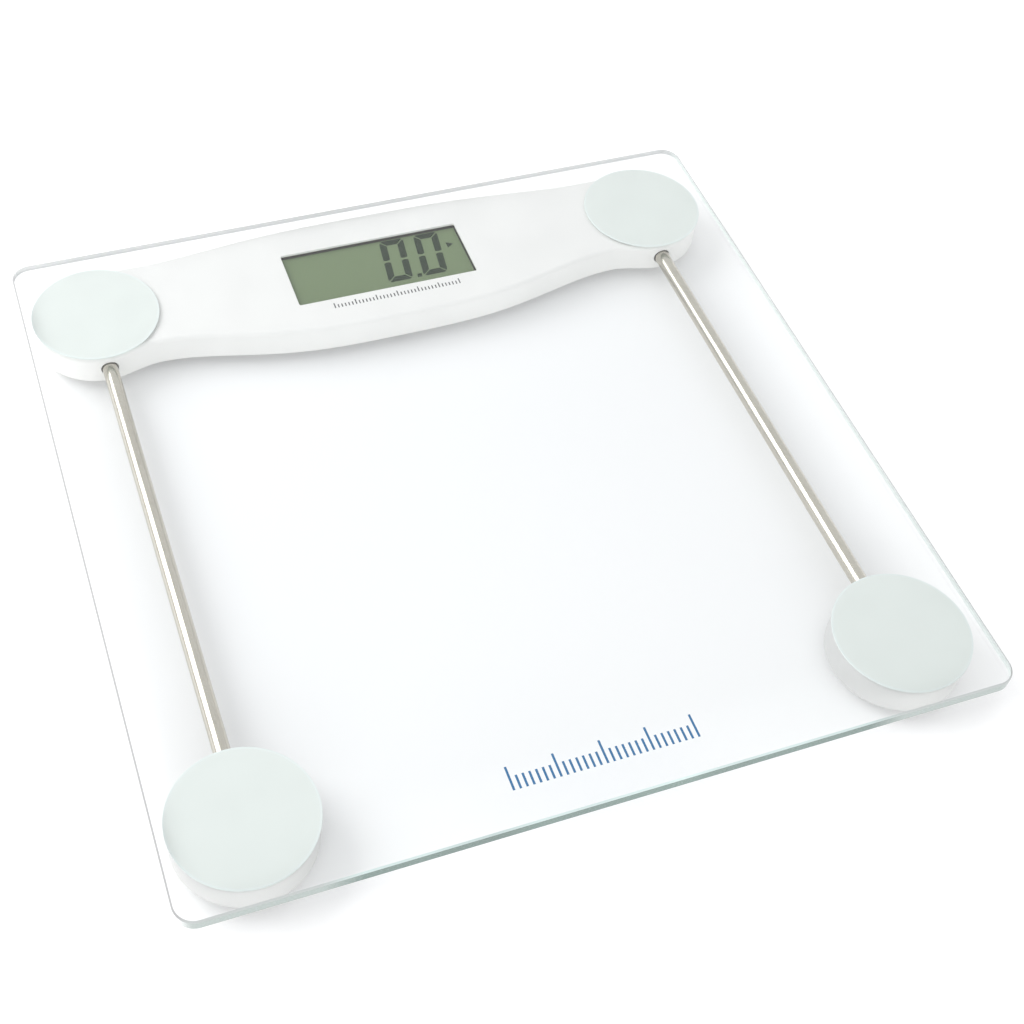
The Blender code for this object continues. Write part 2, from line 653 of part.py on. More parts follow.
def make_display():
    left, right = WINDOW_X - 41.6 * MM, WINDOW_X + 41.6 * MM
    front, back = WINDOW_Y - 17.6 * MM, WINDOW_Y + 17.6 * MM
    low, high = 12.1 * MM, CEILING - GAP
    bm = rounded_plate((left, front, low), (right, back, high), 0.4 * MM, 1)
    place_object("lcd_panel", mesh_from("lcd_panel", bm))

    rim = 2 * MM
    bm = rounded_plate((left - rim, front - rim, BOARD_TOP + GAP),
                       (right + rim, back + rim, high), 1 * MM, 2)
    holder = place_object("lcd_holder", mesh_from("lcd_holder", bm))
    inside = bmesh.new()
    add_box(inside, (left - GAP, front - GAP, 0), (right + GAP, back + GAP, GLASS_BOTTOM))
    boolean(holder, place_cutter("lcd_holder_inside", mesh_from("inside", inside)))

    bm = bmesh.new()
    add_box(bm, (WINDOW_X - 36 * MM, front + 1 * MM, BOARD_TOP + GAP),
            (WINDOW_X + 36 * MM, front + 2.8 * MM, low - GAP))
    place_object("zebra_strip", mesh_from("zebra_strip", bm))


def make_board():
    bm = rounded_plate((-82 * MM, 99.6 * MM, BOARD_BOTTOM), (82 * MM, 135.4 * MM, BOARD_TOP),
                       1.5 * MM, 2)
    board = place_object("main_board", mesh_from("main_board", bm))
    holes = bmesh.new()
    for x, y in BOARD_SCREWS:
        add_post(holes, 1.5 * MM, x, y, 0, GLASS_BOTTOM, 12)
    boolean(board, place_cutter("main_board_holes", mesh_from("holes", holes)))

    height = 1.1 * MM
    dome = [(0, 0)]
    dome += [(4.6 * MM, 0)]
    dome += [(4.6 * MM * math.cos(t), -0.2 * MM - height * math.sin(t))
             for t in (math.radians(a) for a in (0, 30, 60))]
    dome += [(0, -0.2 * MM - height)]
    place_object("controller_chip", turned(dome, 16), (-18 * MM, 117 * MM, BOARD_BOTTOM - GAP))


def make_battery():
    bx, by = CELL_BATTERY
    profile = [(0, 3.2 * MM), (8.6 * MM, 3.2 * MM), (8.8 * MM, 2.9 * MM), (10 * MM, 2.8 * MM),
               (10 * MM, 0.3 * MM), (9.7 * MM, 0), (0, 0)]
    place_object("coin_cell", turned(profile, 28),
                 (bx, by, HOUSING_BOTTOM + DOOR_THICKNESS + GAP))

    # A thin bowed leaf on the board touches the cell's middle.
    top = BOARD_BOTTOM - 0.1 * MM
    bm = rounded_plate((-6 * MM, -1.6 * MM, -0.2 * MM), (6 * MM, 1.6 * MM, 0), 0.8 * MM, 2)
    place_object("battery_contact_negative", mesh_from("battery_contact_negative", bm),
                 (bx, by, top))

    # A strip in the ring's notch touches the cell's side.
    bm = bmesh.new()
    add_box(bm, (10.3 * MM, -2.2 * MM, 6.6 * MM), (10.7 * MM, 2.2 * MM, BOARD_BOTTOM - GAP))
    place_object("battery_contact_positive", mesh_from("battery_contact_positive", bm),
                 (bx, by, 0))


def screw_mesh(length):
    """A pan-head screw, head down, its seat at height 0."""
    return turned([
        (0, length), (0.6 * MM, length - 0.2 * MM), (1 * MM, length - 1 * MM), (1 * MM, 0),
        (2.5 * MM, 0), (2.5 * MM, -0.5 * MM), (2.1 * MM, -0.85 * MM), (0, -0.85 * MM)], 12)


def make_screws():
    groups = (("cover_screw", COVER_SCREWS, HOUSING_BOTTOM + 1.2 * MM - GAP, 7 * MM),
              ("board_screw", BOARD_SCREWS, BOARD_BOTTOM - GAP, 3.6 * MM))
    slot = bmesh.new()
    for half_x, half_y in ((1.4 * MM, 0.25 * MM), (0.25 * MM, 1.4 * MM)):
        add_box(slot, (-half_x, -half_y, -2 * MM), (half_x, half_y, -0.35 * MM))
    slot_mesh = mesh_from("cross_slot", slot)
    for prefix, places, seat, length in groups:
        shape = screw_mesh(length)
        for i, (x, y) in enumerate(places):
            screw = place_object(f"{prefix}_{i + 1}", shape.copy(), (x, y, seat))
            boolean(screw, place_cutter(f"{prefix}_{i + 1}_slot", slot_mesh, (x, y, seat)))


make_glass_platform()
make_bond_discs()
make_front_housing("front_housing_left", -FOOT_X)
make_front_housing("front_housing_right", FOOT_X)
make_display_housing()
make_display_housing_cover()
make_battery_cover()
make_unit_button()
make_unit_switch()
make_feet()
make_tubes()
make_leads()
make_display()
make_board()
make_battery()
make_screws()
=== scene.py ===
"""Looks for a glass body scale: clear plate, frosted seats, white housings, steel tubes, display."""

import math

import bmesh
import bpy
from mathutils import Matrix, Vector


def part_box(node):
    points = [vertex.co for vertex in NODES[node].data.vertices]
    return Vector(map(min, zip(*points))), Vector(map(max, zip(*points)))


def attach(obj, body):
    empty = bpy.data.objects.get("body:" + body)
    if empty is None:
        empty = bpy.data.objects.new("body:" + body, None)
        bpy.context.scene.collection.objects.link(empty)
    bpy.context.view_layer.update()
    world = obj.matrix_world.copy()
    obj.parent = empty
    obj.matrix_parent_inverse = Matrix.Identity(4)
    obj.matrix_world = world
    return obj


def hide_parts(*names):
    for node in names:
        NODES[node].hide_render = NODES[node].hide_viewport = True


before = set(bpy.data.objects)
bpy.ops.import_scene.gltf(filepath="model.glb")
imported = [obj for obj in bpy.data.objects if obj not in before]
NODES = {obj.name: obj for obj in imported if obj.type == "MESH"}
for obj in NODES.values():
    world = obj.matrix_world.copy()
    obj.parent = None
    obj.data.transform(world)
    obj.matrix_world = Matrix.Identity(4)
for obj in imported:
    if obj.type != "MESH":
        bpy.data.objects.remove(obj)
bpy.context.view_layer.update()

MM = 0.001

# ---- sizes shared with the frame, in metres -------------------------------------

GLASS_LOW, GLASS_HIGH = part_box("glass_platform")
GLASS_CORNER = 7.5 * MM
FOOT_X = 121.2 * MM
FOOT_Y = 118 * MM
DISC_LOW, DISC_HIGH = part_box("bond_disc_front_left")
DISC_RADIUS = (DISC_HIGH.x - DISC_LOW.x) / 2

HOUSING_BOTTOM = 4 * MM
HOUSING_TOP = 16.4 * MM
BOSS_TOP = 16.9 * MM
HOUSING_RADIUS = 25 * MM
WAIST_X = 100 * MM
CAVITY_HALF = 98 * MM
COVER_HALF = 97 * MM
CUP_RADIUS = 22.5 * MM
LIP_RADIUS = 20.2 * MM
LIP_TOP = 5.2 * MM
CEILING = 14.6 * MM
WALL = 2.2 * MM
GAP = 0.3 * MM
COVER_TOP = 6 * MM
TUBE_Z = 10.6 * MM
TUBE_RADIUS = 3.1 * MM
TUBE_BORE = 2.4 * MM
TUBE_HALF = 99 * MM

WINDOW_HALF = (39 * MM, 15.2 * MM)
# Top of the painted shade on the display window's walls.
PAINTED_SHADE_TOP = 15.5 * MM
WINDOW_X, WINDOW_Y = -1.4 * MM, 116.4 * MM
LCD_LOW, LCD_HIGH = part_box("lcd_panel")

BATTERY_AT = (66 * MM, 117 * MM)
HINGE_X = BATTERY_AT[0] - 15.5 * MM
TAB_OFFSETS = (-6 * MM, 6 * MM)
HATCH_LOW, HATCH_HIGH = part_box("battery_cover")
BUTTON_AT = (-62 * MM, 116 * MM)
COVER_SCREWS = [(x * MM, y * MM) for x, y in
                ((-86, 106), (-86, 131), (86, 106), (86, 131), (0, 91), (0, 141.6))]
THROUGH = 18 * MM  # above the housing's top, so that a tool this high cuts right through

FEET = {
    "front_left": (-FOOT_X, -FOOT_Y),
    "front_right": (FOOT_X, -FOOT_Y),
    "rear_left": (-FOOT_X, FOOT_Y),
    "rear_right": (FOOT_X, FOOT_Y),
}


# ---- materials --------------------------------------------------------------------


class Finish:
    """A material being put together: a Principled shader and the nodes that feed it."""

    def __init__(self, name, colour, roughness, metallic=0.0):
        self.material = bpy.data.materials.new(name)
        self.material.use_nodes = True
        self.tree = self.material.node_tree
        self.shader = self.tree.nodes["Principled BSDF"]
        self.place = self.add("ShaderNodeTexCoord").outputs["Object"]
        self.set(**{"Base Color": (*colour, 1), "Roughness": roughness, "Metallic": metallic})

    def add(self, kind, **settings):
        node = self.tree.nodes.new(kind)
        for name, value in settings.items():
            setattr(node, name, value)
        return node

    def set(self, **sockets):
        for name, value in sockets.items():
            self.shader.inputs[name].default_value = value

    def link(self, source, target):
        self.tree.links.new(source, target)

    def stretched(self, scale):
        """The object's coordinates, each axis multiplied by its own factor."""
        mapping = self.add("ShaderNodeMapping")
        mapping.inputs["Scale"].default_value = scale
        self.link(self.place, mapping.inputs["Vector"])
        return mapping.outputs["Vector"]

    def noise(self, scale, detail=3.0, roughness=0.5, where=None):
        node = self.add("ShaderNodeTexNoise")
        node.inputs["Scale"].default_value = scale
        node.inputs["Detail"].default_value = detail
        node.inputs["Roughness"].default_value = roughness
        self.link(where or self.place, node.inputs["Vector"])
        return node.outputs["Fac"]

    def span(self, value, low, high, source=(0.3, 0.7)):
        """A value rescaled from one range to another."""
        node = self.add("ShaderNodeMapRange")
        node.inputs["From Min"].default_value = source[0]
        node.inputs["From Max"].default_value = source[1]
        node.inputs["To Min"].default_value = low
        node.inputs["To Max"].default_value = high
        self.link(value, node.inputs["Value"])
        return node.outputs["Result"]

    def blend(self, factor, first, second):
        """A colour between two others."""
        node = self.add("ShaderNodeMix", data_type="RGBA")
        for socket, value in ((node.inputs[6], first), (node.inputs[7], second)):
            if isinstance(value, tuple):
                socket.default_value = (*value, 1)
            else:
                self.link(value, socket)
        self.link(factor, node.inputs[0])
        return node.outputs[2]

    def axes(self):
        """The x, y and z of the object's coordinates."""
        split = self.add("ShaderNodeSeparateXYZ")
        self.link(self.place, split.inputs[0])
        return [split.outputs[axis] for axis in "XYZ"]

    def size(self, value):
        """A value without its sign."""
        node = self.add("ShaderNodeMath", operation="ABSOLUTE")
        self.link(value, node.inputs[0])
        return node.outputs[0]

    def paint(self, colour):
        self.link(colour, self.shader.inputs["Base Color"])

    def grain(self, height, distance, strength=1.0):
        bump = self.add("ShaderNodeBump")
        bump.inputs["Strength"].default_value = strength
        bump.inputs["Distance"].default_value = distance
        self.link(height, bump.inputs["Height"])
        self.link(bump.outputs["Normal"], self.shader.inputs["Normal"])

    def rough(self, value):
        self.link(value, self.shader.inputs["Roughness"])


def shade(colour, factor):
    return tuple(min(1.0, channel * factor) for channel in colour)


def moulded(name, colour, roughness=0.4, texture=2600, depth=0.02 * MM, cloud=0.03):
    """Moulded plastic: a fine spark-eroded skin and faint flow clouds."""
    finish = Finish(name, colour, roughness)
    clouds = finish.span(finish.noise(38, 2), 0, 1)
    tone = finish.blend(clouds, shade(colour, 1 - cloud), shade(colour, 1 + cloud / 2))
    specks = finish.span(finish.noise(texture * 1.7, 1), 0, 1, (0.62, 0.8))
    finish.paint(finish.blend(specks, tone, shade(colour, 1 - 2.5 * cloud)))
    finish.rough(finish.span(finish.noise(texture / 4, 2), roughness - 0.05, roughness + 0.07))
    finish.grain(finish.noise(texture, 2, 0.6), depth, 0.6)
    return finish.material


def turned_steel(name, colour, roughness, along, lines=0.006 * MM):
    """Drawn or rolled metal, with fine lines along one axis."""
    finish = Finish(name, colour, roughness, 1.0)
    scale = tuple(60 if axis == along else 5200 for axis in "xyz")
    streaks = finish.noise(1, 3, 0.6, finish.stretched(scale))
    stains = finish.span(finish.noise(45, 3), 0, 1)
    finish.paint(finish.blend(stains, shade(colour, 0.95), shade(colour, 1.04)))
    finish.rough(finish.span(streaks, roughness - 0.04, roughness + 0.07))
    finish.grain(streaks, lines, 0.5)
    return finish.material


def pane_glass(name, tint):
    """Clear glass that bends what the camera sees, and lets lamps and bounced light straight in."""
    finish = Finish(name, tint, 0.0)
    finish.set(**{"Transmission Weight": 1.0, "IOR": 1.52})
    finish.paint(finish.blend(finish.span(finish.noise(7, 2), 0, 1), shade(tint, 0.995), tint))
    path = finish.add("ShaderNodeLightPath")
    either = finish.add("ShaderNodeMath", operation="MAXIMUM")
    finish.link(path.outputs["Is Shadow Ray"], either.inputs[0])
    finish.link(path.outputs["Is Diffuse Ray"], either.inputs[1])
    clear = finish.add("ShaderNodeBsdfTransparent")
    clear.inputs["Color"].default_value = (0.905, 0.907, 0.912, 1)
    mix = finish.add("ShaderNodeMixShader")
    finish.link(either.outputs[0], mix.inputs[0])
    finish.link(finish.shader.outputs[0], mix.inputs[1])
    finish.link(clear.outputs[0], mix.inputs[2])
    output = finish.tree.nodes["Material Output"]
    finish.link(mix.outputs[0], output.inputs["Surface"])
    tinted = finish.add("ShaderNodeVolumeAbsorption")
    tinted.inputs["Color"].default_value = (0.0, 0.60, 0.44, 1)
    tinted.inputs["Density"].default_value = 1.1
    finish.link(tinted.outputs[0], output.inputs["Volume"])
    return finish.material


def ground_glass_with_painted_shade(name, front, corner, roughness):
    """The plate's ground edge, its light and shade painted on by position: its front a given painted
    tone that turns to the corner tone near the corners, its other sides pale under a painted grey
    shade line, both painted darker on the right.
    """
    finish = Finish(name, front, roughness)
    x, y, z = finish.axes()
    inner, outer = 147 * MM, 149.6 * MM
    at_corner = finish.span(finish.size(x), 0, 1, (90 * MM, 104 * MM))
    at_front = finish.span(y, 1, 0, (-outer, -inner))
    at_right = finish.span(x, 0, 1, (inner, outer))
    at_left = finish.span(x, 1, 0, (-outer, -inner))
    at_painted_line = finish.span(z, 0, 1, (GLASS_HIGH.z - 0.85 * MM, GLASS_HIGH.z - 0.55 * MM))
    waves = finish.span(finish.noise(26, 2), 0, 1)
    # Painted shade on the front face: the given tone with random waves, turning to the corner tone
    # towards the corners.
    body = finish.blend(waves, shade(front, 0.86), shade(front, 1.2))
    body = finish.blend(at_corner, body, corner)
    # Painted shade line along the top of the other sides, darkest on the right, a little lighter on
    # the left.
    line = finish.blend(at_right, (0.50, 0.505, 0.50), (0.20, 0.22, 0.21))
    line = finish.blend(at_left, line, (0.40, 0.40, 0.405))
    # The other sides' pale tone, painted darker on the right.
    wall = finish.blend(at_right, (0.92, 0.925, 0.925), (0.78, 0.82, 0.805))
    side = finish.blend(at_painted_line, wall, line)
    finish.paint(finish.blend(at_front, side, body))
    streaks = finish.noise(1, 3, 0.6, finish.stretched((900, 900, 5200)))
    finish.rough(finish.span(streaks, roughness - 0.06, roughness + 0.08))
    finish.grain(streaks, 0.02 * MM, 0.4)
    return finish.material


def frosted_seat(name):
    """The mint back-print under the glass, with a paler ring painted at its rim as a highlight."""
    colour = (0.775, 0.822, 0.785)
    finish = Finish(name, colour, 0.6)
    joined = finish.add("ShaderNodeCombineXYZ")
    for i, value in enumerate(finish.axes()[:2]):
        finish.link(finish.size(value), joined.inputs[i])
    reach = finish.add("ShaderNodeVectorMath", operation="DISTANCE")
    reach.inputs[1].default_value = (FOOT_X, FOOT_Y, 0)
    finish.link(joined.outputs[0], reach.inputs[0])
    # Painted highlight: a paler ring just inside the rim.
    rim = finish.span(reach.outputs["Value"], 0, 1, (DISC_RADIUS - 1.1 * MM, DISC_RADIUS - 0.3 * MM))
    clouds = finish.span(finish.noise(60, 3), 0, 1)
    tone = finish.blend(clouds, shade(colour, 0.982), shade(colour, 1.012))
    finish.paint(finish.blend(rim, tone, (0.80, 0.86, 0.84)))
    finish.grain(finish.noise(5200, 2, 0.7), 0.02 * MM, 0.5)
    finish.rough(finish.span(finish.noise(900, 2), 0.5, 0.7))
    return finish.material


def display_face(name):
    """The grey-green reflective display, with its fine reflector grain."""
    colour = (0.160, 0.220, 0.111)
    finish = Finish(name, colour, 0.45)
    grains = finish.span(finish.noise(5200, 2, 0.7), 0, 1)
    tone = finish.blend(grains, shade(colour, 0.965), shade(colour, 1.03))
    clouds = finish.span(finish.noise(30, 2), 0, 1)
    finish.paint(finish.blend(clouds, tone, shade(colour, 1.02)))
    finish.rough(finish.span(finish.noise(1400, 2), 0.4, 0.5))
    finish.set(**{"Specular IOR Level": 0.12})
    return finish.material


def printed(name, colour, roughness=0.5):
    """Screen-printed ink, a touch uneven; the darkest one also serves as painted shade."""
    finish = Finish(name, colour, roughness)
    finish.set(**{"Specular IOR Level": 0.12})
    mottle = finish.span(finish.noise(1500, 3), 0, 1)
    finish.paint(finish.blend(mottle, shade(colour, 0.9), shade(colour, 1.08)))
    finish.rough(finish.span(finish.noise(700, 2), roughness - 0.06, roughness + 0.06))
    return finish.material


def rubber(name, colour):
    """Matt rubber with a dusty bloom."""
    finish = Finish(name, colour, 0.85)
    bloom = finish.span(finish.noise(240, 4), 0, 1)
    finish.paint(finish.blend(bloom, shade(colour, 0.9), shade(colour, 1.1)))
    finish.rough(finish.span(finish.noise(900, 2), 0.75, 0.95))
    finish.grain(finish.noise(3800, 3, 0.7), 0.04 * MM, 0.7)
    return finish.material


def circuit(name):
    """Green solder mask with pale copper tracks beneath it."""
    mask, track = (0.015, 0.17, 0.055), (0.05, 0.27, 0.10)
    finish = Finish(name, mask, 0.35)
    brick = finish.add("ShaderNodeTexBrick", offset=0.37, squash=1.6)
    brick.inputs["Scale"].default_value = 210
    brick.inputs["Mortar Size"].default_value = 0.035
    finish.link(finish.place, brick.inputs["Vector"])
    finish.paint(finish.blend(brick.outputs["Fac"], mask, track))
    finish.rough(finish.span(finish.noise(700, 2), 0.3, 0.42))
    finish.grain(brick.outputs["Fac"], 0.03 * MM, 0.4)
    return finish.material


WHITE = (0.895, 0.89, 0.87)
GLASS_FACE = pane_glass("glass_polished", (0.995, 1.0, 0.998))
# Painted light on the plate's edges: a dark teal painted shade on the front face, a pale painted
# highlight on the front chamfers, and paler or darker tones by side.
GLASS_EDGE = ground_glass_with_painted_shade("glass_ground_edge_painted_shade", (0.175, 0.25, 0.225), (0.44, 0.50, 0.475), 0.25)
GLASS_ARRIS = ground_glass_with_painted_shade("glass_arris_painted_light", (0.68, 0.80, 0.78), (0.58, 0.61, 0.60), 0.3)
SEAT = frosted_seat("frosted_seat")
SHELL = moulded("white_abs", WHITE, 0.36)
# The same white plastic, painted darker as shade for the front housings.
FRONT_SHELL_PAINTED_SHADE = moulded("white_abs_front_painted_shade", (0.63, 0.63, 0.62), 0.38)
FOOT_PLASTIC = moulded("foot_abs", (0.80, 0.80, 0.785), 0.42)
PAD = rubber("pad_rubber", (0.52, 0.52, 0.50))
TUBE = turned_steel("tube_polished", (0.56, 0.53, 0.465), 0.13, "y")
DISPLAY = display_face("lcd_face")
SEGMENT = printed("lcd_segments", (0.002, 0.018, 0.001), 0.6)
BLUE = printed("print_blue", (0.003, 0.15, 0.36), 0.35)
GREY = printed("print_grey", (0.05, 0.05, 0.055), 0.5)
# Dark ink for the display's own border, also used as painted shade on the window's walls and in the
# gap round the display.
DARK_MASK_AND_PAINTED_SHADE = printed("lcd_mask_and_painted_shade", (0.022, 0.022, 0.010), 0.6)
HOLDER = moulded("holder_plastic", (0.78, 0.78, 0.76), 0.5)
ZEBRA = rubber("zebra_rubber", (0.16, 0.16, 0.19))
BOARD = circuit("circuit_board")
EPOXY = moulded("chip_epoxy", (0.012, 0.012, 0.013), 0.35, 900)
SWITCH = moulded("switch_plastic", (0.03, 0.03, 0.032), 0.45)
KEY = moulded("key_plastic", (0.33, 0.36, 0.38), 0.45, 2200)
CELL_STEEL = turned_steel("cell_steel", (0.56, 0.56, 0.57), 0.3, "x", 0.02 * MM)
SEALANT = rubber("gauge_sealant", (0.78, 0.78, 0.74))
LEAD = moulded("lead_insulation", (0.28, 0.035, 0.03), 0.45, 1800)
CAN = turned_steel("battery_can", (0.74, 0.73, 0.71), 0.22, "x")
CONTACT = turned_steel("contact_spring", (0.70, 0.66, 0.55), 0.25, "x")
SCREW = turned_steel("screw_steel", (0.60, 0.59, 0.58), 0.28, "z")


# ---- mesh helpers -------------------------------------------------------------------


def smooth(mesh, sharp=32):
    """Smooth shading, kept sharp across edges steeper than an angle in degrees."""
    mesh.shade_smooth()
    mesh.set_sharp_from_angle(angle=math.radians(sharp))
    return mesh


def finish_mesh(name, bm, sharp=32):
    bmesh.ops.recalc_face_normals(bm, faces=bm.faces)
    mesh = bpy.data.meshes.new(name)
    bm.to_mesh(mesh)
    bm.free()
    return smooth(mesh, sharp)


def new_piece(name, mesh, materials, body, replaced=()):
    """Puts a piece in the scene, on its body, with its finish and the CAD nodes it stands for."""
    piece = bpy.data.objects.new(name, mesh)
    bpy.context.scene.collection.objects.link(piece)
    for material in materials if isinstance(materials, list) else [materials]:
        mesh.materials.append(material)
    normals = piece.modifiers.new("Normals", "WEIGHTED_NORMAL")
    normals.keep_sharp = True
    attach(piece, body)
    if replaced:
        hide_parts(*replaced)
    return piece


def add_rings(bm, rings, closed=False):
    """Skins a stack of rings of equal length; its ends are capped or joined to each other."""
    loops = [[bm.verts.new(point) for point in ring] for ring in rings]
    pairs = list(zip(loops, loops[1:]))
    if closed:
        pairs.append((loops[-1], loops[0]))
    for below, above in pairs:
        count = len(below)
        for i in range(count):
            j = (i + 1) % count
            bm.faces.new((below[i], below[j], above[j], above[i]))
    if not closed:
        bm.faces.new(list(reversed(loops[0])))
        bm.faces.new(loops[-1])


def add_lathe(bm, profile, at=(0, 0), sides=96, closed=False):
    """Turns (radius, height) points about an upright axis."""
    rings = []
    for radius, height in profile:
        rings.append([(at[0] + radius * math.cos(2 * math.pi * i / sides),
                       at[1] + radius * math.sin(2 * math.pi * i / sides), height)
                      for i in range(sides)])
    add_rings(bm, rings, closed=closed)


def rounded(profile, radius, steps=4):
    """Rounds the inner corners of an open (radius, height) profile."""
    result = [profile[0]]
    for before, corner, after in zip(profile, profile[1:], profile[2:]):
        before, corner, after = Vector(before), Vector(corner), Vector(after)
        back, ahead = before - corner, after - corner
        reach = min(radius, back.length * 0.45, ahead.length * 0.45)
        start = corner + back.normalized() * reach
        end = corner + ahead.normalized() * reach
        for i in range(steps + 1):
            t = i / steps
            point = start * (1 - t) ** 2 + corner * 2 * t * (1 - t) + end * t ** 2
            result.append((point.x, point.y))
    result.append(profile[-1])
    return result


def rectangle(low, high, corner, steps=8):
    """A rectangle's outline with round corners, anticlockwise."""
    points = []
    centres = [(high[0] - corner, low[1] + corner, -90), (high[0] - corner, high[1] - corner, 0),
               (low[0] + corner, high[1] - corner, 90), (low[0] + corner, low[1] + corner, 180)]
    for x, y, start in centres:
        for i in range(steps + 1):
            angle = math.radians(start + 90 * i / steps)
            points.append((x + corner * math.cos(angle), y + corner * math.sin(angle)))
    return points


def inset_outline(outline, distance):
    """An anticlockwise outline moved inwards along its own normals."""
    count = len(outline)
    moved = []
    for i, (x, y) in enumerate(outline):
        before, after = outline[i - 1], outline[(i + 1) % count]
        dx, dy = after[0] - before[0], after[1] - before[1]
        length = math.hypot(dx, dy)
        moved.append((x - distance * dy / length, y + distance * dx / length))
    return moved


def add_prism(bm, outline, levels):
    """A stack of one outline at (height, inset) levels."""
    rings = []
    for height, inset in levels:
        ring = inset_outline(outline, inset) if inset else outline
        rings.append([(x, y, height) for x, y in ring])
    add_rings(bm, rings)


def add_post(bm, radius, at, low, high, sides=48):
    add_lathe(bm, [(radius, low), (radius, high)], at, sides)


def add_rod(bm, radius, start, end, sides=48):
    """A cylinder between two points."""
    start, end = Vector(start), Vector(end)
    turn = (end - start).to_track_quat("Z", "Y").to_matrix().to_4x4()
    bmesh.ops.create_cone(
        bm, cap_ends=True, segments=sides, radius1=radius, radius2=radius,
        depth=(end - start).length, matrix=Matrix.Translation((start + end) / 2) @ turn)


def combine(target, tool, operation):
    """The mesh that is left when a tool mesh is cut from, or joined to, another one."""
    body = bpy.data.objects.new("work", target)
    cutter = bpy.data.objects.new("tool", tool)
    for obj in (body, cutter):
        bpy.context.scene.collection.objects.link(obj)
    step = body.modifiers.new("Step", "BOOLEAN")
    step.operation = operation
    step.object = cutter
    step.use_self = True
    depsgraph = bpy.context.evaluated_depsgraph_get()
    result = bpy.data.meshes.new_from_object(body.evaluated_get(depsgraph))
    for obj in (body, cutter):
        bpy.data.objects.remove(obj, do_unlink=True)
    return result


def carve(target, tool_bm):
    return combine(target, finish_mesh("tool", tool_bm), "DIFFERENCE")


def merged(mesh, extra_bm):
    """One mesh that holds another's closed shells as well."""
    bm = bmesh.new()
    bm.from_mesh(mesh)
    extra = finish_mesh("extra", extra_bm)
    bm.from_mesh(extra)
    mesh = bpy.data.meshes.new(mesh.name)
    bm.to_mesh(mesh)
    bm.free()
    return smooth(mesh)


# ---- glass plate and frosted seats -----------------------------------------------


def make_glass():
    outline = rectangle(GLASS_LOW.xy, GLASS_HIGH.xy, GLASS_CORNER, 18)
    low, high = GLASS_LOW.z, GLASS_HIGH.z
    cut = 0.6 * MM
    steps = [(0, 1), (0.07, 0.83), (0.83, 0.07), (1, 0)]
    levels = [(low + cut * up, cut * back) for up, back in steps]
    levels += [(high - cut * up, cut * back) for up, back in reversed(steps)]
    bm = bmesh.new()
    add_prism(bm, outline, levels)
    for face in bm.faces:
        middle = face.calc_center_median()
        upright = low + cut < middle.z < high - cut
        face.material_index = 0 if len(face.verts) > 4 else 1 if upright else 2
    mesh = finish_mesh("glass_plate", bm, 18)
    new_piece("glass_plate", mesh, [GLASS_FACE, GLASS_EDGE, GLASS_ARRIS], "platform",
              ["glass_platform"])


def make_seats():
    for corner, at in FEET.items():
        bm = bmesh.new()
        low, high = DISC_LOW.z, DISC_HIGH.z
        profile = [(DISC_RADIUS - 0.15 * MM, low), (DISC_RADIUS, low + 0.12 * MM),
                   (DISC_RADIUS, high - 0.12 * MM), (DISC_RADIUS - 0.06 * MM, high - 0.03 * MM),
                   (DISC_RADIUS - 0.18 * MM, high)]
        add_lathe(bm, profile, at, 128)
        new_piece(f"frosted_seat_{corner}", finish_mesh("seat", bm), SEAT, "platform",
                  [f"bond_disc_{corner}"])


# ---- housings --------------------------------------------------------------------------


def bulge_and_bend(x):
    """How much of the middle's bulge is left at x, and how far along the bend to a foot it is."""
    reach = min(abs(x) / WAIST_X, 1) ** 1.6
    t = max(0, (abs(x) - WAIST_X) / (FOOT_X - WAIST_X))
    return (1 + math.cos(math.pi * reach)) / 2, t


def front_line(x):
    bulge, t = bulge_and_bend(x)
    return 97 * MM - 12.4 * MM * bulge - 4 * MM * t * t * (3 - 2 * t)


def rear_line(x):
    bulge, t = bulge_and_bend(x)
    return 142.6 * MM + 5.4 * MM * bulge + 0.4 * MM * t * t * (3 - 2 * t)


def housing_outline(steps=150, half_turn=60):
    """The display housing's outline: two wavy lines between half circles round the rear feet."""
    rows = [FOOT_X * (2 * i / steps - 1) for i in range(1, steps)]
    outline = [(x, front_line(x)) for x in rows]
    for side in (1, -1):
        for i in range(half_turn + 1):
            angle = math.pi * (i / half_turn - 0.5) + (0 if side > 0 else math.pi)
            outline.append((side * FOOT_X + HOUSING_RADIUS * math.cos(angle),
                            FOOT_Y + HOUSING_RADIUS * math.sin(angle)))
        if side > 0:
            outline += [(x, rear_line(x)) for x in reversed(rows)]
    return outline


def middle_outline(inset, half_width, steps=110):
    """The part of that outline between the feet, its long sides moved inwards."""
    rows = [half_width * (2 * i / steps - 1) for i in range(steps + 1)]
    return ([(x, front_line(x) + inset) for x in rows]
            + [(x, rear_line(x) - inset) for x in reversed(rows)])


def fillet_levels(low, high, top_radius, foot_radius=0.6 * MM, steps=8):
    """(height, inset) levels of an upright wall, rounded above and a little below."""
    levels = []
    for i in range(4):
        angle = math.pi / 2 * i / 3
        levels.append((low + foot_radius * (1 - math.cos(angle)),
                       foot_radius * (1 - math.sin(angle))))
    for i in range(steps + 1):
        angle = math.pi / 2 * i / steps
        levels.append((high - top_radius * (1 - math.sin(angle)),
                       top_radius * (1 - math.cos(angle))))
    return levels


def add_well(bm, at):
    """A foot's well: a narrow lip with a wider cup above it."""
    add_post(bm, LIP_RADIUS, at, HOUSING_BOTTOM - 2 * MM, LIP_TOP + 0.2 * MM, 96)
    add_post(bm, CUP_RADIUS, at, LIP_TOP, CEILING, 96)


